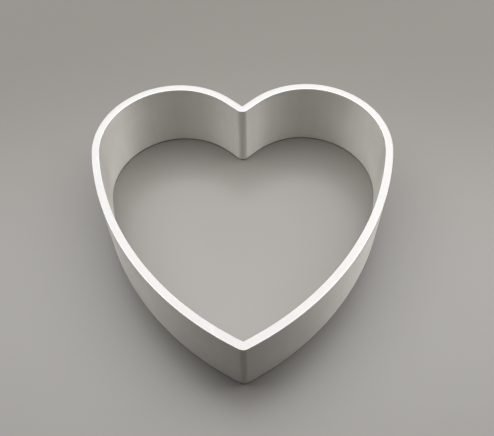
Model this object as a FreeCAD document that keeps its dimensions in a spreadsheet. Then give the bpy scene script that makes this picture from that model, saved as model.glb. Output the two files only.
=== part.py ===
import FreeCAD, Part
import math
import os

import Sketcher

# A heart-shaped cookie cutter: a closed band of flat aluminium strip stood on its edge.
# Two mirror-image strips are rolled to the halves of the heart and cut off square.
# Their ends touch along one upright line at the tip and one at the cleft, and at each
# a weld, ground flush, fills the V that the square ends leave open.
# Millimetres and degrees. The foot stands on z = 0, the cleft points to +Y and the
# origin lies under the middle of the heart.

SIZES = {
    "wall": 2.0,           # thickness of the strip
    "band_height": 20.0,   # from the foot to the rim
    "lobe_radius": 19.0,   # inner face of each lobe
    "flank_radius": 69.0,  # inner face of each flank, from the lobe down to the tip
    "tip_drop": 53.5,      # from the lobe centres down to the sharp inner corner at the tip
    "cleft_run": 4.0,      # straight stretch between a lobe and the cleft
    "cleft_slope": 42.0,   # fall of that stretch towards the cleft, in degrees
    "rim_break": 0.15,     # flat that eases the edges of the rim
    "foot_break": 0.6,     # flat that eases the edges of the foot
}

# Vertex numbers of a sketch edge
START, END, CENTRE = 1, 2, 3
# Sketch axes, and the point where they cross
ACROSS, UPRIGHT = -1, -2
ORIGIN = (ACROSS, START)


def ray(angle):
    """Unit vector in plan, at an angle in radians from +X."""
    return FreeCAD.Vector(math.cos(angle), math.sin(angle))


def make_sheet(doc):
    """Spreadsheet that holds every driving size under its own alias."""
    sheet = doc.addObject("Spreadsheet::Sheet", "sizes")
    for row, (alias, value) in enumerate(SIZES.items(), start=1):
        sheet.set(f"A{row}", alias)
        sheet.set(f"B{row}", str(value))
        sheet.setAlias(f"B{row}", alias)
    doc.recompute()
    return sheet


def origin_feature(body, role):
    """One of the body's own origin planes or axes."""
    return next(feature for feature in body.Origin.OriginFeatures if feature.Role == role)


def new_body(doc, name):
    """Empty body whose label names the piece."""
    body = doc.addObject("PartDesign::Body", name)
    body.Label = name
    return body


def new_sketch(body, name, plane_role):
    """Sketch on one of the body's own origin planes."""
    sketch = body.newObject("Sketcher::SketchObject", name)
    sketch.AttachmentSupport = [(origin_feature(body, plane_role), "")]
    sketch.MapMode = "FlatFace"
    return sketch


def dimension(sketch, name, expression, kind, *where):
    """Driving dimension that follows the sheet."""
    size = sketch.evalExpression(expression)
    number = sketch.addConstraint(Sketcher.Constraint(kind, *where, size))
    sketch.renameConstraint(number, name)
    sketch.setExpression(f"Constraints.{name}", expression)


def measure(sketch, name, kind, *where):
    """Reference dimension that other pieces read."""
    number = sketch.addConstraint(Sketcher.Constraint(kind, *where, 0))
    sketch.setDriving(number, False)
    sketch.renameConstraint(number, name)


def draw_half_heart(sketch, sheet):
    """Plan of the right half band: two arcs and a straight run on each face, two square ends."""
    wall, run = sheet.wall, sheet.cleft_run
    lobe_radius, flank_radius = sheet.lobe_radius, sheet.flank_radius
    slope = math.radians(sheet.cleft_slope)

    # Both faces of the strip share the centres of its two bends
    lobe = FreeCAD.Vector(
        (lobe_radius + wall) * math.sin(slope) + run * math.cos(slope),
        (sheet.tip_drop - lobe_radius) / 2,
    )
    tip = FreeCAD.Vector(0, lobe.y - sheet.tip_drop)
    reach = tip.distanceToPoint(lobe)
    spread = flank_radius - lobe_radius
    turn = math.acos((reach**2 + flank_radius**2 - spread**2) / (2 * reach * flank_radius))
    flank_bearing = math.atan2(sheet.tip_drop, lobe.x) + turn
    flank = tip + ray(flank_bearing) * flank_radius

    tip_angle = flank_bearing - math.pi
    waist_angle = math.atan2(lobe.y - flank.y, lobe.x - flank.x)
    shoulder_angle = math.pi / 2 + slope
    fall = ray(math.pi + slope) * run

    def add_arc(centre, radius, first, last):
        circle = Part.Circle(centre, FreeCAD.Vector(0, 0, 1), radius)
        return sketch.addGeometry(Part.ArcOfCircle(circle, first, last))

    def add_face(offset):
        shoulder = lobe + ray(shoulder_angle) * (lobe_radius + offset)
        return (
            add_arc(flank, flank_radius + offset, tip_angle, waist_angle),
            add_arc(lobe, lobe_radius + offset, waist_angle, shoulder_angle),
            sketch.addGeometry(Part.LineSegment(shoulder, shoulder + fall)),
            shoulder + fall,
        )

    inner_flank, inner_lobe, inner_run, cleft_inside = add_face(0)
    outer_flank, outer_lobe, outer_run, cleft = add_face(wall)
    tip_end = sketch.addGeometry(Part.LineSegment(tip, tip + ray(tip_angle) * wall))
    cleft_end = sketch.addGeometry(Part.LineSegment(cleft_inside, cleft))

    for kind, *where in (
        ("Tangent", inner_flank, END, inner_lobe, START),
        ("Tangent", inner_lobe, END, inner_run, START),
        ("Tangent", outer_flank, END, outer_lobe, START),
        ("Tangent", outer_lobe, END, outer_run, START),
        ("Coincident", inner_flank, START, tip_end, START),
        ("Coincident", outer_flank, START, tip_end, END),
        ("Coincident", inner_run, END, cleft_end, START),
        ("Coincident", outer_run, END, cleft_end, END),
        ("Coincident", inner_flank, CENTRE, outer_flank, CENTRE),
        ("Coincident", inner_lobe, CENTRE, outer_lobe, CENTRE),
        ("PointOnObject", inner_flank, CENTRE, tip_end),
        ("PointOnObject", tip_end, START, UPRIGHT),
        ("PointOnObject", cleft_end, END, UPRIGHT),
        ("Perpendicular", cleft_end, inner_run),
        ("Parallel", inner_run, outer_run),
    ):
        sketch.addConstraint(Sketcher.Constraint(kind, *where))

    dimension(sketch, "wall", "sizes.wall", "Distance", cleft_end)
    dimension(sketch, "lobe_radius", "sizes.lobe_radius", "Radius", inner_lobe)
    dimension(sketch, "flank_radius", "sizes.flank_radius", "Radius", inner_flank)
    dimension(sketch, "cleft_run", "sizes.cleft_run", "Distance", outer_run)
    dimension(sketch, "cleft_slope", "sizes.cleft_slope * 1 deg", "Angle", ACROSS, START, outer_run, END)
    dimension(sketch, "tip_drop", "sizes.tip_drop", "DistanceY", tip_end, START, inner_lobe, CENTRE)
    dimension(
        sketch, "lobe_rise", "(sizes.tip_drop - sizes.lobe_radius) / 2",
        "DistanceY", *ORIGIN, inner_lobe, CENTRE,
    )
    measure(sketch, "tip_fall", "DistanceY", tip_end, START, *ORIGIN)
    measure(sketch, "cleft_rise", "DistanceY", *ORIGIN, cleft_end, END)
    measure(sketch, "tip_turn", "Angle", UPRIGHT, END, tip_end, START)


def ease_edges(body, name, level, size):
    """Flat along both faces of the strip at one level, its square ends left sharp."""
    base = body.Tip
    # The flat runs on along the straight stretch, which is tangent to the lobe's arc
    arcs = [
        f"Edge{number}" for number, edge in enumerate(base.Shape.Edges, start=1)
        if isinstance(edge.Curve, Part.Circle)
        and math.isclose(edge.CenterOfMass.z, level, abs_tol=FreeCAD.Base.Precision.confusion())
    ]
    flat = body.newObject("PartDesign::Chamfer", name)
    flat.Base = (base, arcs)
    flat.setExpression("Size", size)
    body.Document.recompute()


def make_right_half(doc, sheet):
    """Right half band, padded up from its plan."""
    body = new_body(doc, "right_half_band")
    plan = new_sketch(body, "half_heart", "XY_Plane")
    draw_half_heart(plan, sheet)
    strip = body.newObject("PartDesign::Pad", "strip")
    strip.Profile = plan
    strip.setExpression("Length", "sizes.band_height")
    doc.recompute()
    ease_edges(body, "rim_edges", sheet.band_height, "sizes.rim_break")
    ease_edges(body, "foot_edges", 0, "sizes.foot_break")
    return body


def make_left_half(doc, right_half):
    """Left half band, the mirror image of the right one."""
    mirrored = doc.addObject("Part::Mirroring", "left_half_band")
    mirrored.Label = "left_half_band"
    mirrored.Source = right_half
    mirrored.Normal = FreeCAD.Vector(1, 0, 0)
    return mirrored


def draw_strip_section(sketch, sheet):
    """Cross-section of the strip, one face on the upright axis and the other towards -Y."""
    wall, height = sheet.wall, sheet.band_height
    rim, foot = sheet.rim_break, sheet.foot_break
    corners = [
        FreeCAD.Vector(foot - wall, 0), FreeCAD.Vector(-foot, 0),
        FreeCAD.Vector(0, foot), FreeCAD.Vector(0, height - rim),
        FreeCAD.Vector(-rim, height), FreeCAD.Vector(rim - wall, height),
        FreeCAD.Vector(-wall, height - rim), FreeCAD.Vector(-wall, foot),
    ]
    lines = [
        sketch.addGeometry(Part.LineSegment(here, onward))
        for here, onward in zip(corners, corners[1:] + corners[:1])
    ]
    for here, onward in zip(lines, lines[1:] + lines[:1]):
        sketch.addConstraint(Sketcher.Constraint("Coincident", here, END, onward, START))
    foot_face, foot_inside, inner_face, rim_inside, rim_face, rim_outside, outer_face, foot_outside = lines
    for level_face in (foot_face, rim_face):
        sketch.addConstraint(Sketcher.Constraint("Horizontal", level_face))
    for upright_face in (inner_face, outer_face):
        sketch.addConstraint(Sketcher.Constraint("Vertical", upright_face))
    sketch.addConstraint(Sketcher.Constraint("PointOnObject", foot_face, START, ACROSS))
    sketch.addConstraint(Sketcher.Constraint("PointOnObject", inner_face, START, UPRIGHT))

    dimension(sketch, "wall", "sizes.wall", "DistanceX", outer_face, START, inner_face, END)
    dimension(sketch, "band_height", "sizes.band_height", "DistanceY", foot_face, START, rim_face, END)
    for name, line, size in (
        ("foot_inside", foot_inside, "sizes.foot_break"),
        ("rim_inside", rim_inside, "sizes.rim_break"),
        ("rim_outside", rim_outside, "sizes.rim_break"),
        ("foot_outside", foot_outside, "sizes.foot_break"),
    ):
        leftward = line in (rim_inside, rim_outside)
        downward = line in (rim_outside, foot_outside)
        across = (line, END, line, START) if leftward else (line, START, line, END)
        upward = (line, END, line, START) if downward else (line, START, line, END)
        dimension(sketch, f"{name}_across", size, "DistanceX", *across)
        dimension(sketch, f"{name}_upward", size, "DistanceY", *upward)


def make_weld(doc, sheet, name, place, turn):
    """Weld that carries the strip's section round a sharp corner, from one square end to the other."""
    body = new_body(doc, name)
    section = new_sketch(body, f"{name}_section", "YZ_Plane")
    draw_strip_section(section, sheet)
    bead = body.newObject("PartDesign::Revolution", f"{name}_bead")
    bead.Profile = section
    bead.ReferenceAxis = (origin_feature(body, "Z_Axis"), [""])
    bead.Midplane = True
    bead.setExpression("Angle", turn)
    body.setExpression("Placement.Base.y", place)
    doc.recompute()
    return body


def check_model(doc, pieces):
    """Stop unless every object is sound and every piece is one valid solid."""
    for item in doc.Objects:
        if {"Invalid", "Error"} & set(item.State):
            raise RuntimeError(f"{item.Name} failed: {item.State}")
    for piece in pieces:
        shape = piece.Shape
        if shape.isNull() or not shape.isValid() or len(shape.Solids) != 1:
            raise RuntimeError(f"{piece.Label} is not one valid solid")
        print(f"{piece.Label}: {shape.Volume:.1f} mm3")


def main():
    doc = FreeCAD.newDocument("cookie_cutter")
    sheet = make_sheet(doc)
    right_half = make_right_half(doc, sheet)
    pieces = [
        right_half,
        make_left_half(doc, right_half),
        make_weld(
            doc, sheet, "tip_weld",
            place="-half_heart.Constraints.tip_fall",
            turn="2 * half_heart.Constraints.tip_turn",
        ),
        make_weld(
            doc, sheet, "cleft_weld",
            place="half_heart.Constraints.cleft_rise",
            turn="2 * sizes.cleft_slope",
        ),
    ]
    doc.recompute()
    check_model(doc, pieces)
    os.makedirs("parts", exist_ok=True)
    for piece in pieces:
        piece.Shape.exportStep(f"parts/{piece.Label}.step")


main()
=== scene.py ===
"""Looks of the heart-shaped cookie cutter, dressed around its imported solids.

The two rolled strips and the two ground welds are swept again as meshes with rounded edges.
They take three aluminium finishes: satin on the walls, sanded on the rim and the foot, and
burnished along the edges between them.
"""

import logging
import math
from abc import ABC, abstractmethod
from dataclasses import dataclass
from enum import Enum
from itertools import accumulate, chain, pairwise
from typing import NamedTuple

import bpy
from mathutils import Matrix, Vector


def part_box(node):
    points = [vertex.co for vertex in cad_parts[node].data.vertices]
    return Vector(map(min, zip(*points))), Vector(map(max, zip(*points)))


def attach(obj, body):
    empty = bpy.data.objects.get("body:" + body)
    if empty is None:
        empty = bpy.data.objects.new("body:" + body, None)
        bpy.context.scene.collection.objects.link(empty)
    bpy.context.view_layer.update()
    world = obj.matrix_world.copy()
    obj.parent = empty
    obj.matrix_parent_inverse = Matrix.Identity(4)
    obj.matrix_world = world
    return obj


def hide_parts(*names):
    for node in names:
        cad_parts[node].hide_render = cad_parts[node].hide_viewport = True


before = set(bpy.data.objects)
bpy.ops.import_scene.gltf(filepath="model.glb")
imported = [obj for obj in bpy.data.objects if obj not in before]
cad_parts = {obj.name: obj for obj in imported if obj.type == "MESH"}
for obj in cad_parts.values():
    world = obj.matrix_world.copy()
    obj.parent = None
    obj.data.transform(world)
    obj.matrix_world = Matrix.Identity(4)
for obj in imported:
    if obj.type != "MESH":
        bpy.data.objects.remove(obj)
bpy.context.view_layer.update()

LOG = logging.getLogger("cookie_cutter")
BODY = "root"
MM = 0.001
UP = Vector((0, 0, 1))
RIGHT_ANGLE = math.pi / 2
# Rows of a matrix that holds a turn and a place
MATRIX_SIZE = 4
# A plain number, or the socket that gives one
Amount = float | bpy.types.NodeSocket


class Side(Enum):
    """Half of the heart that a strip makes."""

    RIGHT = "right"
    LEFT = "left"


class Corner(Enum):
    """Sharp corner of the heart that a weld fills."""

    TIP = "tip"
    CLEFT = "cleft"


class Surface(Enum):
    """Surface of the strip with a finish of its own, as the number of its material slot."""

    WALL = 0
    CUT = 1
    EDGE = 2


class Facing(Enum):
    """Way that a flat of the strip's section looks, as a step across and a step up."""

    INWARD = (-1, 0)
    OUTWARD = (1, 0)
    DOWN = (0, -1)
    UPWARD = (0, 1)


class End(Enum):
    """Square end of a piece, as the way that it looks along the band."""

    START = -1
    FINISH = 1


class SectionPoint(NamedTuple):
    """Point on the outline of the strip's section, with the surface that follows it."""

    across: float
    up: float
    facing: Vector
    surface: Surface
    girth: float = 0


class Station(NamedTuple):
    """Place along the band where its section stands, set back from the root by some way."""

    root: Vector
    outward: Vector
    run: float
    back: float = 0


class SkinCorner(NamedTuple):
    """Corner of a face: its place, its normal, the way across the wall and the bake map's place."""

    place: Vector
    normal: Vector
    across: float
    spot: tuple[float, float]


def ray(angle: float) -> Vector:
    """Unit vector in plan at an angle in radians from +X."""
    return Vector((math.cos(angle), math.sin(angle), 0))


def spread(first: float, last: float, steps: int) -> list[float]:
    """Values from first to last, with as many even steps between them."""
    return [first + (last - first) * step / steps for step in range(steps + 1)]


@dataclass(frozen=True)
class StripSection:
    """Cross-section of the strip, from its inner face outwards and from its foot upwards."""

    wall: float
    height: float
    rim_round: float = 0.15 * MM
    foot_round: float = 0.6 * MM
    round_steps: int = 6
    wall_steps: int = 8
    cut_steps: int = 1

    def outline(self) -> list[SectionPoint]:
        """Closed outline, anticlockwise from the inner edge of the foot.

        Returns:
            The outline's points, with the first one again at the end.
        """
        foot, rim = self.foot_round, self.rim_round
        low, high = foot, self.height - rim
        foot_out, rim_out = self.wall - foot, self.wall - rim
        stretches = (
            self._round((foot, low), foot, Facing.INWARD),
            self._flat((foot, 0), (foot_out, 0), Facing.DOWN),
            self._round((foot_out, low), foot, Facing.DOWN),
            self._flat((self.wall, low), (self.wall, high), Facing.OUTWARD),
            self._round((rim_out, high), rim, Facing.OUTWARD),
            self._flat((rim_out, self.height), (rim, self.height), Facing.UPWARD),
            self._round((rim, high), rim, Facing.UPWARD),
            self._flat((0, high), (0, low), Facing.INWARD),
        )
        points = list(chain.from_iterable(stretches))
        points.append(points[0])
        steps = [math.dist(point[:2], follower[:2]) for point, follower in pairwise(points)]
        girths = accumulate(steps, initial=0)
        return [point._replace(girth=girth) for point, girth in zip(points, girths)]

    def _round(self, centre: tuple[float, float], radius: float, start: Facing) -> list[SectionPoint]:
        """Quarter round, up to the point where the next stretch starts.

        Args:
            centre: Centre of the round, as the way across and up.
            radius: Radius of the round.
            start: Way that it looks where it starts. It turns anticlockwise from there.

        Returns:
            The points along the round.
        """
        first = math.atan2(start.value[1], start.value[0])
        points = []
        for angle in spread(first, first + RIGHT_ANGLE, self.round_steps)[:-1]:
            across, up = math.cos(angle), math.sin(angle)
            place = (centre[0] + radius * across, centre[1] + radius * up)
            points.append(SectionPoint(*place, Vector((across, up)), Surface.EDGE))
        return points

    def _flat(
        self, first: tuple[float, float], last: tuple[float, float], facing: Facing
    ) -> list[SectionPoint]:
        """Flat stretch, up to the point where the next one starts.

        Args:
            first: Where it starts, as the way across and up.
            last: Where it ends.
            facing: Way that it looks: inward or outward for a wall, down or up for a cut.

        Returns:
            The points along the flat.
        """
        if facing in (Facing.INWARD, Facing.OUTWARD):
            surface, steps = Surface.WALL, self.wall_steps
        else:
            surface, steps = Surface.CUT, self.cut_steps
        places = list(zip(spread(first[0], last[0], steps), spread(first[1], last[1], steps)))
        return [SectionPoint(*place, Vector(facing.value), surface) for place in places[:-1]]


@dataclass(frozen=True)
class HeartPlan:
    """Plan of the heart. Radii are those of the inner face."""

    wall: float
    lobe_radius: float = 19 * MM
    flank_radius: float = 69 * MM
    tip_drop: float = 53.5 * MM
    cleft_run: float = 4 * MM
    cleft_slope: float = math.radians(42)

    @property
    def lobe(self) -> Vector:
        """Centre of the right lobe.

        Returns:
            The centre in plan. The origin is midway from the tip's corner to the top of the inner face.
        """
        outer = self.lobe_radius + self.wall
        across = outer * math.sin(self.cleft_slope) + self.cleft_run * math.cos(self.cleft_slope)
        return Vector((across, (self.tip_drop - self.lobe_radius) / 2, 0))

    @property
    def tip(self) -> Vector:
        """Sharp inner corner at the tip."""
        return Vector((0, self.lobe.y - self.tip_drop, 0))

    @property
    def flank_bearing(self) -> float:
        """Angle from the tip's corner to the centre of the right flank.

        Returns:
            The angle, from the triangle of the corner and the centres of the lobe and the flank.
        """
        reach = (self.lobe - self.tip).length
        apart = self.flank_radius - self.lobe_radius
        turn = math.acos((reach**2 + self.flank_radius**2 - apart**2) / (2 * reach * self.flank_radius))
        return math.atan2(self.tip_drop, self.lobe.x) + turn

    @property
    def flank(self) -> Vector:
        """Centre of the right flank."""
        return self.tip + ray(self.flank_bearing) * self.flank_radius

    @property
    def tip_angle(self) -> float:
        """Angle of the right strip's square end at the tip."""
        return self.flank_bearing - math.pi

    @property
    def waist_angle(self) -> float:
        """Angle where the flank runs into the lobe."""
        across = self.lobe - self.flank
        return math.atan2(across.y, across.x)

    @property
    def shoulder_angle(self) -> float:
        """Angle where the lobe runs into the straight stretch beside the cleft."""
        return RIGHT_ANGLE + self.cleft_slope

    @property
    def cleft(self) -> Vector:
        """Sharp outer corner at the cleft."""
        shoulder = self.lobe + ray(self.shoulder_angle) * (self.lobe_radius + self.wall)
        return shoulder + ray(math.pi + self.cleft_slope) * self.cleft_run


class SkinBuilder:
    """Gathers the faces of one swept piece and makes its mesh."""

    ACROSS = "across_wall"
    BAKE_MAP = "OFBake"
    FEWEST_CORNERS = 3

    def __init__(self) -> None:
        """Start with no faces."""
        self.places: dict[tuple[float, ...], int] = {}
        self.faces: list[list[int]] = []
        self.surfaces: list[int] = []
        self.corners: list[SkinCorner] = []

    def add_face(self, corners: list[SkinCorner], surface: Surface) -> None:
        """Add one face, or nothing where its corners fall together.

        Args:
            corners: The face's corners, anticlockwise seen from outside.
            surface: Surface that the face belongs to.
        """
        kept = {}
        for corner in corners:
            number = self.places.setdefault(tuple(corner.place), len(self.places))
            kept.setdefault(number, corner)
        if len(kept) < self.FEWEST_CORNERS:
            return
        self.faces.append(list(kept))
        self.surfaces.append(surface.value)
        self.corners += kept.values()

    def mesh(self, name: str) -> bpy.types.Mesh:
        """Make the mesh, with exact normals.

        Args:
            name: Name of the mesh.

        Returns:
            The finished mesh.
        """
        mesh = bpy.data.meshes.new(name)
        mesh.from_pydata(list(self.places), [], self.faces)
        mesh.polygons.foreach_set("material_index", self.surfaces)
        mesh.polygons.foreach_set("use_smooth", [True] * len(self.faces))
        across = mesh.attributes.new(self.ACROSS, "FLOAT", "CORNER")
        across.data.foreach_set("value", [corner.across for corner in self.corners])
        spots = list(chain.from_iterable(corner.spot for corner in self.corners))
        reach = max(spots)
        bake_map = mesh.uv_layers.new(name=self.BAKE_MAP)
        bake_map.uv.foreach_set("vector", [value / reach for value in spots])
        mesh.normals_split_custom_set([corner.normal for corner in self.corners])
        mesh.update()
        return mesh


@dataclass
class SweptPiece(ABC):
    """Piece of the cutter that the strip's section is swept into."""

    plan: HeartPlan
    section: StripSection

    @property
    @abstractmethod
    def name(self) -> str:
        """Name of the piece."""

    @property
    @abstractmethod
    def node(self) -> str:
        """Name of the solid that the piece stands for."""

    @property
    @abstractmethod
    def slot(self) -> str:
        """Name of the material slot for the piece."""

    @abstractmethod
    def stations(self) -> list[Station]:
        """Places of the section along the piece, anticlockwise round the heart."""

    def build(self) -> bpy.types.Object:
        """Sweep the section into a closed mesh and set it on the cutter.

        Returns:
            The piece, riding on the cutter in the place of its solid.
        """
        stations = self.stations()
        outline = self.section.outline()
        skin = SkinBuilder()
        for here, onward in pairwise(stations):
            for point, follower in pairwise(outline):
                corners = ((here, point), (onward, point), (onward, follower), (here, follower))
                skin.add_face([self._corner(*corner) for corner in corners], point.surface)
        self._close_end(skin, outline, stations[0], End.START)
        self._close_end(skin, outline, stations[-1], End.FINISH)
        piece = bpy.data.objects.new(self.name, skin.mesh(self.name))
        bpy.context.scene.collection.objects.link(piece)
        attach(piece, BODY)
        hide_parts(self.node)
        self.slot
        return piece

    def dress(self, piece: bpy.types.Object, finishes: dict[Surface, bpy.types.Material]) -> None:
        """Give each surface of the piece its finish."""
        for surface in Surface:
            piece.data.materials.append(finishes[surface])

    def _corner(self, station: Station, point: SectionPoint) -> SkinCorner:
        """Corner of a face.

        Args:
            station: Place along the band.
            point: Place on the section there.

        Returns:
            The corner, with its place on the bake map by run and girth.
        """
        place = station.root + station.outward * (point.across - station.back) + UP * point.up
        normal = station.outward * point.facing.x + UP * point.facing.y
        return SkinCorner(place, normal, point.across, (station.run, point.girth))

    def _close_end(
        self, skin: SkinBuilder, outline: list[SectionPoint], station: Station, end: End
    ) -> None:
        """Close one square end.

        On the bake map both ends lie beside the swept sides, with a strip's height between them.

        Args:
            skin: Builder that takes the face.
            outline: Closed outline of the section.
            station: Place of the end.
            end: Which of the two ends it is.
        """
        normal = UP.cross(station.outward) * end.value
        beside = outline[-1].girth + self.section.wall
        along = 2 * self.section.height if end is End.FINISH else 0
        corners = []
        for point in outline[:-1][::-end.value]:
            corner = self._corner(station, point)
            spot = (along + point.up, beside + point.across)
            corners.append(corner._replace(normal=normal, spot=spot))
        skin.add_face(corners, Surface.CUT)


@dataclass(kw_only=True)
class HalfBand(SweptPiece):
    """Strip that is rolled to one half of the heart."""

    side: Side
    step: float = 0.75 * MM

    @property
    def name(self) -> str:
        """Name of the piece."""
        return f"{self.side.value}_strip"

    @property
    def node(self) -> str:
        """Name of the solid that the piece stands for."""
        return f"{self.side.value}_half_band"

    @property
    def slot(self) -> str:
        """Name of the material slot for the piece."""
        return "band"

    def stations(self) -> list[Station]:
        """Places of the section along the strip, anticlockwise round the heart.

        Returns:
            The stations of the flank, the lobe and the straight stretch.
        """
        plan = self.plan
        right = self._bend(plan.flank, plan.flank_radius, plan.tip_angle, plan.waist_angle, 0)
        waist = right.pop()
        right += self._bend(plan.lobe, plan.lobe_radius, plan.waist_angle, plan.shoulder_angle, waist.run)
        shoulder = right.pop()
        fall = ray(math.pi + plan.cleft_slope)
        for along in spread(0, plan.cleft_run, math.ceil(plan.cleft_run / self.step)):
            right.append(Station(shoulder.root + fall * along, shoulder.outward, shoulder.run + along))
        if self.side is Side.RIGHT:
            return right
        mirror = Matrix.Diagonal((-1, 1, 1))
        length = right[-1].run
        return [
            Station(mirror @ station.root, mirror @ station.outward, length - station.run)
            for station in reversed(right)
        ]

    def _bend(self, centre: Vector, radius: float, first: float, last: float, run: float) -> list[Station]:
        """Stations along a bend of the strip.

        Args:
            centre: Centre of the bend.
            radius: Radius of the inner face.
            first: Angle where the bend starts.
            last: Angle where it ends.
            run: Length of strip before the bend.

        Returns:
            The stations, evenly spaced.
        """
        middle = radius + self.plan.wall / 2
        steps = math.ceil(middle * (last - first) / self.step)
        return [
            Station(centre + ray(angle) * radius, ray(angle), run + middle * (angle - first))
            for angle in spread(first, last, steps)
        ]


@dataclass(kw_only=True)
class CornerWeld(SweptPiece):
    """Weld that is ground flush with the two strips at a sharp corner."""

    corner: Corner
    steps: int = 16

    @property
    def name(self) -> str:
        """Name of the piece."""
        return f"{self.corner.value}_bead"

    @property
    def node(self) -> str:
        """Name of the solid that the piece stands for."""
        return f"{self.corner.value}_weld"

    @property
    def slot(self) -> str:
        """Name of the material slot for the piece."""
        return "weld"

    def stations(self) -> list[Station]:
        """Places of the section as it turns about the sharp corner, anticlockwise round the heart.

        Returns:
            The stations from one square end to the other.
        """
        plan = self.plan
        if self.corner is Corner.TIP:
            pivot, back = plan.tip, 0
            first, last = -math.pi - plan.tip_angle, plan.tip_angle
        else:
            pivot, back = plan.cleft, plan.wall
            first, last = plan.shoulder_angle, math.pi - plan.shoulder_angle
        return [
            Station(pivot, ray(angle), plan.wall * abs(angle - first), back)
            for angle in spread(first, last, self.steps)
        ]


class LineAxis(Enum):
    """Direction in which the fine lines of a finish follow one another."""

    UP_THE_WALL = "up"
    ACROSS_THE_WALL = "across"


@dataclass(frozen=True)
class Pattern:
    """Spacing of a noise: in plan, and along the third number of the place it is read at."""

    plan_spacing: float
    line_spacing: float
    octaves: float = 2


@dataclass(frozen=True)
class Trace:
    """What a mark adds, where it is full, to the shade, the roughness and the relief in metres."""

    shade: float = 0
    roughness: float = 0
    relief: float = 0


class Mark(NamedTuple):
    """Kind of mark on the metal: how full it is at each place, and what it leaves there."""

    amount: bpy.types.NodeSocket
    trace: Trace


class FinishGraph:
    """Node tree of one finish, with short ways to add nodes."""

    NOISE_MIDDLE = 0.5

    def __init__(self, name: str) -> None:
        """Start a material with an empty tree.

        Args:
            name: Name of the material.
        """
        self.material = bpy.data.materials.new(name)
        self.material.use_nodes = True
        self.tree = self.material.node_tree
        self.tree.nodes.clear()

    def add(
        self, kind: str, inputs: dict[str | int, object] | None = None, **settings: object
    ) -> bpy.types.Node:
        """Add a node.

        Args:
            kind: Blender's name of the node type.
            inputs: Values or sockets for its inputs, by name or number.
            settings: Properties of the node.

        Returns:
            The node.
        """
        node = self.tree.nodes.new(kind)
        for name, value in settings.items():
            setattr(node, name, value)
        for name, value in (inputs or {}).items():
            if isinstance(value, bpy.types.NodeSocket):
                self.tree.links.new(value, node.inputs[name])
            else:
                node.inputs[name].default_value = value
        return node

    def finish(self, shader: bpy.types.Node) -> bpy.types.Material:
        """Material whose surface is the shader."""
        self.add("ShaderNodeOutputMaterial", {"Surface": shader.outputs[0]})
        return self.material

    def place(self) -> bpy.types.NodeSocket:
        """Place in metres in the frame of the CAD, which runs on across the seams."""
        return self.add("ShaderNodeTexCoord").outputs["Object"]

    def part(self, axis: str) -> bpy.types.NodeSocket:
        """X, Y or Z of the place."""
        return self.add("ShaderNodeSeparateXYZ", {0: self.place()}).outputs[axis]

    def way(self, axis: LineAxis) -> bpy.types.NodeSocket:
        """Height on the wall, or the way across it, in metres.

        Args:
            axis: Which of the two.

        Returns:
            The distance from the foot or from the inner face.
        """
        if axis is LineAxis.ACROSS_THE_WALL:
            return self.add("ShaderNodeAttribute", attribute_name=SkinBuilder.ACROSS).outputs["Fac"]
        return self.part("Z")

    def with_third(self, third: bpy.types.NodeSocket) -> bpy.types.NodeSocket:
        """Place in plan, with another number for the height."""
        plan = {"X": self.part("X"), "Y": self.part("Y"), "Z": third}
        return self.add("ShaderNodeCombineXYZ", plan).outputs[0]

    def noise(self, place: bpy.types.NodeSocket, pattern: Pattern) -> bpy.types.NodeSocket:
        """Noise that swings about zero.

        Args:
            place: Place on the cutter, in metres.
            pattern: Spacing and fineness of the noise.

        Returns:
            The noise, from about -0.5 to 0.5.
        """
        density = (1 / pattern.plan_spacing, 1 / pattern.plan_spacing, 1 / pattern.line_spacing)
        scaled = self.add("ShaderNodeVectorMath", {0: place, 1: density}, operation="MULTIPLY")
        inputs = {"Vector": scaled.outputs[0], "Scale": 1, "Detail": pattern.octaves}
        grey = self.add("ShaderNodeTexNoise", inputs).outputs["Fac"]
        return self.maths("SUBTRACT", grey, self.NOISE_MIDDLE)

    def maths(self, operation: str, *values: Amount) -> bpy.types.NodeSocket:
        """Sum, product or other result of the values."""
        return self.add("ShaderNodeMath", dict(enumerate(values)), operation=operation).outputs[0]

    def fade(self, value: bpy.types.NodeSocket, empty: float, full: float) -> bpy.types.NodeSocket:
        """Share that grows smoothly from 0 where the value is empty to 1 where it is full."""
        limits = {"Value": value, "From Min": empty, "From Max": full}
        return self.add("ShaderNodeMapRange", limits, interpolation_type="SMOOTHSTEP").outputs[0]

    def blend(self, base: float, parts: list[tuple[bpy.types.NodeSocket, float]]) -> Amount:
        """Value that swings about a base.

        Args:
            base: Value where every part is zero.
            parts: Shares and noises, each with how much it adds.

        Returns:
            The base with all parts added.
        """
        total = base
        for part, amount in parts:
            if amount:
                total = self.maths("MULTIPLY_ADD", part, amount, total)
        return total


@dataclass(frozen=True)
class Scuffs:
    """Sparse slanting scratches, which show where their noise rises above an onset."""

    pattern: Pattern = Pattern(3.5 * MM, 0.16 * MM, octaves=1)
    slant: tuple[float, float, float] = (0.22, 0.13, 1)
    onset: float = 0.19
    full: float = 0.27
    trace: Trace = Trace(shade=0.05, roughness=-0.08)

    def mark(self, graph: FinishGraph) -> Mark:
        """Scratches in a finish.

        Args:
            graph: Tree of the finish.

        Returns:
            The mark.
        """
        vectors = {0: graph.place(), 1: self.slant}
        slanting = graph.add("ShaderNodeVectorMath", vectors, operation="DOT_PRODUCT")
        scratches = graph.noise(graph.with_third(slanting.outputs["Value"]), self.pattern)
        return Mark(graph.fade(scratches, self.onset, self.full), self.trace)


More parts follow.
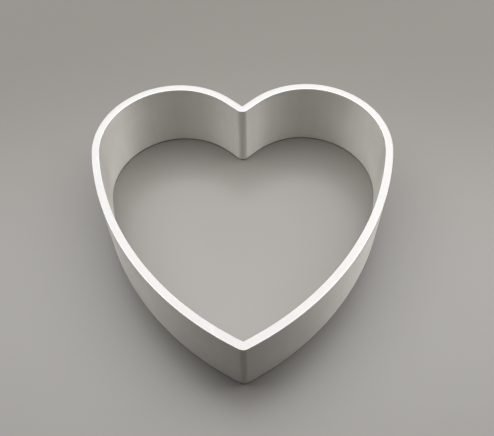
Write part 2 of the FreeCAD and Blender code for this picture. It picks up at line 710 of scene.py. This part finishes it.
@dataclass(frozen=True)
class EdgeWear:
    """Polish along the two edges of a surface, with a ragged border."""

    reach: float = 0.7 * MM
    raggedness: Pattern = Pattern(5 * MM, 4 * MM, octaves=3)
    swing: float = 0.9 * MM
    trace: Trace = Trace(shade=0.05, roughness=-0.08)

    def mark(self, graph: FinishGraph, way: bpy.types.NodeSocket, span: float) -> Mark:
        """Wear in a finish.

        Args:
            graph: Tree of the finish.
            way: Distance from one edge of the surface.
            span: Distance between the two edges.

        Returns:
            The mark.
        """
        gap = graph.maths("PINGPONG", way, span / 2)
        ragged = graph.maths("MULTIPLY_ADD", graph.noise(graph.place(), self.raggedness), self.swing, gap)
        return Mark(graph.fade(ragged, self.reach, 0), self.trace)


@dataclass(frozen=True)
class GroundPatch:
    """Wall beside the middle plane, where both welds were ground up and down the corner."""

    full: float = 2.2 * MM
    end: float = 5 * MM
    raggedness: Pattern = Pattern(2 * MM, 3 * MM, octaves=3)
    swing: float = 2.4 * MM
    strokes: Pattern = Pattern(0.08 * MM, 5 * MM)
    patch_trace: Trace = Trace(roughness=0.03)
    stroke_trace: Trace = Trace(shade=0.07, roughness=0.12, relief=0.002 * MM)

    def marks(self, graph: FinishGraph) -> list[Mark]:
        """Ground patches in a finish.

        Args:
            graph: Tree of the finish.

        Returns:
            The marks of the patch and of its strokes.
        """
        aside = graph.maths("ABSOLUTE", graph.part("X"))
        ragged = graph.maths("MULTIPLY_ADD", graph.noise(graph.place(), self.raggedness), self.swing, aside)
        patch = graph.fade(ragged, self.end, self.full)
        strokes = graph.maths("MULTIPLY", graph.noise(graph.place(), self.strokes), patch)
        return [Mark(patch, self.patch_trace), Mark(strokes, self.stroke_trace)]


@dataclass(frozen=True)
class AluminiumFinish:
    """Finish of one surface of the strip.

    Lines are those of the rolls or the abrasive, grain is the fine tooth of the surface, smudges
    come from handling and bands are faint uprights from the bending. Metal is the share of the
    look that is bare metal. A stretch spreads the sheen up the wall, across the lines, and its
    turn is a share of a full circle.
    """

    name: str
    tint: tuple[float, float, float]
    metal: float
    roughness: float
    line_axis: LineAxis
    lines: Pattern
    line_trace: Trace
    grain: Pattern
    grain_trace: Trace
    stretch: float = 0
    stretch_turn: float = 0.25
    smudges: Pattern = Pattern(9 * MM, 7 * MM, octaves=3)
    smudge_trace: Trace = Trace(shade=0.07, roughness=0.14)
    bands: Pattern = Pattern(1.6 * MM, 60 * MM, octaves=1)
    band_trace: Trace = Trace(shade=0.05)
    scuffs: Scuffs = Scuffs()
    wear: EdgeWear | None = None
    ground: GroundPatch | None = None

    def material(self, span: float) -> bpy.types.Material:
        """Procedural metal.

        Args:
            span: Distance between the two edges of the surface, for the wear along them.

        Returns:
            The material.
        """
        graph = FinishGraph(self.name)
        marks = self._marks(graph, span)
        shade = graph.blend(1, [(mark.amount, mark.trace.shade) for mark in marks])
        tint = graph.add("ShaderNodeVectorMath", {0: self.tint, "Scale": shade}, operation="SCALE")
        relief = graph.blend(0, [(mark.amount, mark.trace.relief) for mark in marks])
        bump = graph.add("ShaderNodeBump", {"Height": relief, "Distance": 1, "Strength": 1})
        roughness = graph.blend(self.roughness, [(mark.amount, mark.trace.roughness) for mark in marks])
        inputs = {
            "Base Color": tint.outputs[0],
            "Metallic": self.metal,
            "Roughness": roughness,
            "Anisotropic": self.stretch,
            "Anisotropic Rotation": self.stretch_turn,
            "Normal": bump.outputs[0],
        }
        return graph.finish(graph.add("ShaderNodeBsdfPrincipled", inputs))

    def _marks(self, graph: FinishGraph, span: float) -> list[Mark]:
        """All marks on the surface.

        Args:
            graph: Tree of the finish.
            span: Distance between the two edges of the surface.

        Returns:
            The marks.
        """
        way = graph.way(self.line_axis)
        marks = [
            Mark(graph.noise(graph.with_third(way), self.lines), self.line_trace),
            Mark(graph.noise(graph.place(), self.grain), self.grain_trace),
            Mark(graph.noise(graph.place(), self.smudges), self.smudge_trace),
            Mark(graph.noise(graph.place(), self.bands), self.band_trace),
            self.scuffs.mark(graph),
        ]
        if self.wear:
            marks.append(self.wear.mark(graph, way, span))
        if self.ground:
            marks += self.ground.marks(graph)
        return marks


@dataclass(frozen=True)
class FloorFinish:
    """Plain pale floor with a soft sheen.

    Beyond the softbox's reach the floor glows at about the tone that it has near the cutter, so
    that it stays pale out to its border. Only the camera and reflections see the glow, which
    starts and is full at distances in metres from the cutter's middle.
    """

    name: str = "pale_floor"
    tint: tuple[float, float, float] = (0.3, 0.285, 0.263)
    roughness: float = 0.35
    gloss: float = 0.85
    glow: tuple[float, float, float] = (0.374, 0.36, 0.34)
    glow_start: float = 0.09
    glow_full: float = 0.22

    def material(self) -> bpy.types.Material:
        """Material of the floor and of its upturned border.

        Returns:
            The material.
        """
        graph = FinishGraph(self.name)
        floor = {
            "Base Color": (*self.tint, 1),
            "Roughness": self.roughness,
            "Specular IOR Level": self.gloss,
        }
        lit = graph.add("ShaderNodeBsdfPrincipled", floor)
        glowing = graph.add("ShaderNodeEmission", {"Color": (*self.glow, 1), "Strength": 1})
        distance = graph.add("ShaderNodeVectorMath", {0: graph.place()}, operation="LENGTH")
        far = graph.fade(distance.outputs["Value"], self.glow_start, self.glow_full)
        rays = graph.add("ShaderNodeLightPath").outputs
        mirrored = graph.maths("MAXIMUM", rays["Is Glossy Ray"], rays["Is Transmission Ray"])
        seen = graph.maths("MAXIMUM", rays["Is Camera Ray"], mirrored)
        share = graph.maths("MULTIPLY", far, seen)
        shaders = {0: share, 1: lit.outputs[0], 2: glowing.outputs[0]}
        return graph.finish(graph.add("ShaderNodeMixShader", shaders))


SATIN_WALL = AluminiumFinish(
    name="satin_wall",
    tint=(0.9, 0.876, 0.832),
    metal=0.58,
    roughness=0.596,
    line_axis=LineAxis.UP_THE_WALL,
    lines=Pattern(9 * MM, 0.12 * MM),
    line_trace=Trace(shade=0.12, roughness=0.14, relief=0.0015 * MM),
    grain=Pattern(0.11 * MM, 0.11 * MM),
    grain_trace=Trace(relief=0.002 * MM),
    stretch=0.906,
    wear=EdgeWear(),
    ground=GroundPatch(),
)
SANDED_CUT = AluminiumFinish(
    name="sanded_cut",
    tint=(0.82, 0.811, 0.8),
    metal=0.57,
    roughness=0.7,
    line_axis=LineAxis.ACROSS_THE_WALL,
    lines=Pattern(4 * MM, 0.09 * MM),
    line_trace=Trace(shade=0.12, roughness=0.12, relief=0.003 * MM),
    grain=Pattern(0.08 * MM, 0.08 * MM),
    grain_trace=Trace(relief=0.003 * MM),
    wear=EdgeWear(reach=0.2 * MM, swing=0.3 * MM),
)
BURNISHED_EDGE = AluminiumFinish(
    name="burnished_edge",
    tint=(0.86, 0.85, 0.83),
    metal=1,
    roughness=0.36,
    line_axis=LineAxis.UP_THE_WALL,
    lines=Pattern(1.5 * MM, 0.3 * MM),
    line_trace=Trace(shade=0.06, roughness=0.08, relief=0.002 * MM),
    grain=Pattern(0.07 * MM, 0.07 * MM),
    grain_trace=Trace(relief=0.002 * MM),
)


@dataclass
class Cutter:
    """The whole cutter: two strips and the two welds that join them."""

    wall: float
    height: float

    def finishes(self) -> dict[Surface, bpy.types.Material]:
        """Materials of the strip's surfaces.

        Returns:
            The material of each surface.
        """
        return {
            Surface.WALL: SATIN_WALL.material(self.height),
            Surface.CUT: SANDED_CUT.material(self.wall),
            Surface.EDGE: BURNISHED_EDGE.material(self.height),
        }

    def pieces(self) -> list[SweptPiece]:
        """The cutter's pieces, in the order that they are made.

        Returns:
            The two strips and then the two welds.
        """
        plan = HeartPlan(self.wall)
        section = StripSection(self.wall, self.height)
        strips = [HalfBand(plan, section, side=side) for side in Side]
        welds = [CornerWeld(plan, section, corner=corner) for corner in Corner]
        return strips + welds


@dataclass(frozen=True)
class Softbox:
    """Level panel of soft light close above the cutter and behind it, with its sizes in metres."""

    width: float = 0.67
    front: float = -0.046
    back: float = 0.247
    height: float = 0.274
    shift: float = 0.053
    radiance: float = 2.76

    def hang(self) -> None:
        """Set the panel, facing straight down."""
        lamp = bpy.data.lights.new("softbox", "AREA")
        lamp.shape = "RECTANGLE"
        lamp.size, lamp.size_y = self.width, self.back - self.front
        # An even panel gives off pi times its radiance from each square metre
        lamp.energy = self.radiance * math.pi * lamp.size * lamp.size_y
        panel = bpy.data.objects.new("softbox", lamp)
        panel.location = (self.shift, (self.front + self.back) / 2, self.height)
        bpy.context.scene.collection.objects.link(panel)


@dataclass(frozen=True)
class FloorSweep:
    """Round floor whose border turns up, so that no edge of it shows from low down.

    Reaches and rise are in metres.
    """

    flat_reach: float = 0.6
    reach: float = 1.6
    rise: float = 0.35
    rings: int = 12
    sides: int = 64
    finish: FloorFinish = FloorFinish()

    def lay(self) -> None:
        """Make the floor."""
        corners = []
        for radius in spread(self.flat_reach, self.reach, self.rings):
            turned_up = (radius - self.flat_reach) / (self.reach - self.flat_reach)
            corners += [ray(angle) * radius + UP * self.rise * turned_up**2 for angle in self._angles()]
        faces = [list(range(self.sides))]
        for inner in range(0, self.rings * self.sides, self.sides):
            outer = inner + self.sides
            for side in range(self.sides):
                follower = (side + 1) % self.sides
                faces.append((inner + side, outer + side, outer + follower, inner + follower))
        mesh = bpy.data.meshes.new("floor")
        mesh.from_pydata(corners, [], faces)
        mesh.polygons.foreach_set("use_smooth", [True] * len(faces))
        mesh.materials.append(self.finish.material())
        floor = bpy.data.objects.new("floor", mesh)
        bpy.context.scene.collection.objects.link(floor)

    def _angles(self) -> list[float]:
        """Angles of the corners of a ring."""
        return spread(0, math.tau, self.sides)[:-1]


@dataclass(frozen=True)
class Studio:
    """Plain floor and soft light."""

    softbox: Softbox = Softbox()
    floor: FloorSweep = FloorSweep()
    fill: float = 0.01

    def build(self) -> None:
        """Lay the floor and set the lights."""
        self.floor.lay()
        self.softbox.hang()
        self._set_fill()

    def _set_fill(self) -> None:
        """Weak even light from all round."""
        world = bpy.data.worlds.new("fill")
        world.use_nodes = True
        background = world.node_tree.nodes["Background"]
        background.inputs["Color"].default_value = (1, 1, 1, 1)
        background.inputs["Strength"].default_value = self.fill
        bpy.context.scene.world = world


@dataclass(frozen=True)
class PhotoCamera:
    """Camera at the photograph's place."""

    place: tuple[float, float, float] = (1.15 * MM, -90.2 * MM, 145.11 * MM)
    pitch: float = math.radians(55.9)
    yaw: float = math.radians(0.1)
    roll: float = math.radians(-0.65)
    focal_pixels: float = 648.2
    image_width: float = 494

    def build(self) -> None:
        """Set the scene's camera."""
        lens = bpy.data.cameras.new("photo_camera")
        lens.sensor_fit = "HORIZONTAL"
        lens.lens = self.focal_pixels / self.image_width * lens.sensor_width
        lens.clip_start = MM
        camera = bpy.data.objects.new("photo_camera", lens)
        tilt = Matrix.Rotation(RIGHT_ANGLE - self.pitch, MATRIX_SIZE, "X")
        turn = Matrix.Rotation(self.yaw, MATRIX_SIZE, "Z")
        lean = Matrix.Rotation(self.roll, MATRIX_SIZE, "Z")
        camera.matrix_world = Matrix.Translation(self.place) @ turn @ tilt @ lean
        bpy.context.scene.collection.objects.link(camera)
        bpy.context.scene.camera = camera


def main() -> None:
    """Build the cutter, the studio and the camera, and log the faces of each piece."""
    logging.basicConfig(level=logging.INFO, format="%(name)s: %(message)s")
    bpy.context.scene.view_settings.view_transform = "Standard"
    weld_low, weld_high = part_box("tip_weld")
    cutter = Cutter(wall=weld_high.y - weld_low.y, height=weld_high.z - weld_low.z)
    finishes = cutter.finishes()
    for part in cutter.pieces():
        piece = part.build()
        part.dress(piece, finishes)
        LOG.info("%s: %d faces, in place of %s", piece.name, len(piece.data.polygons), part.node)
    Studio().build()
    PhotoCamera().build()


if __name__ == "__main__":
    main()
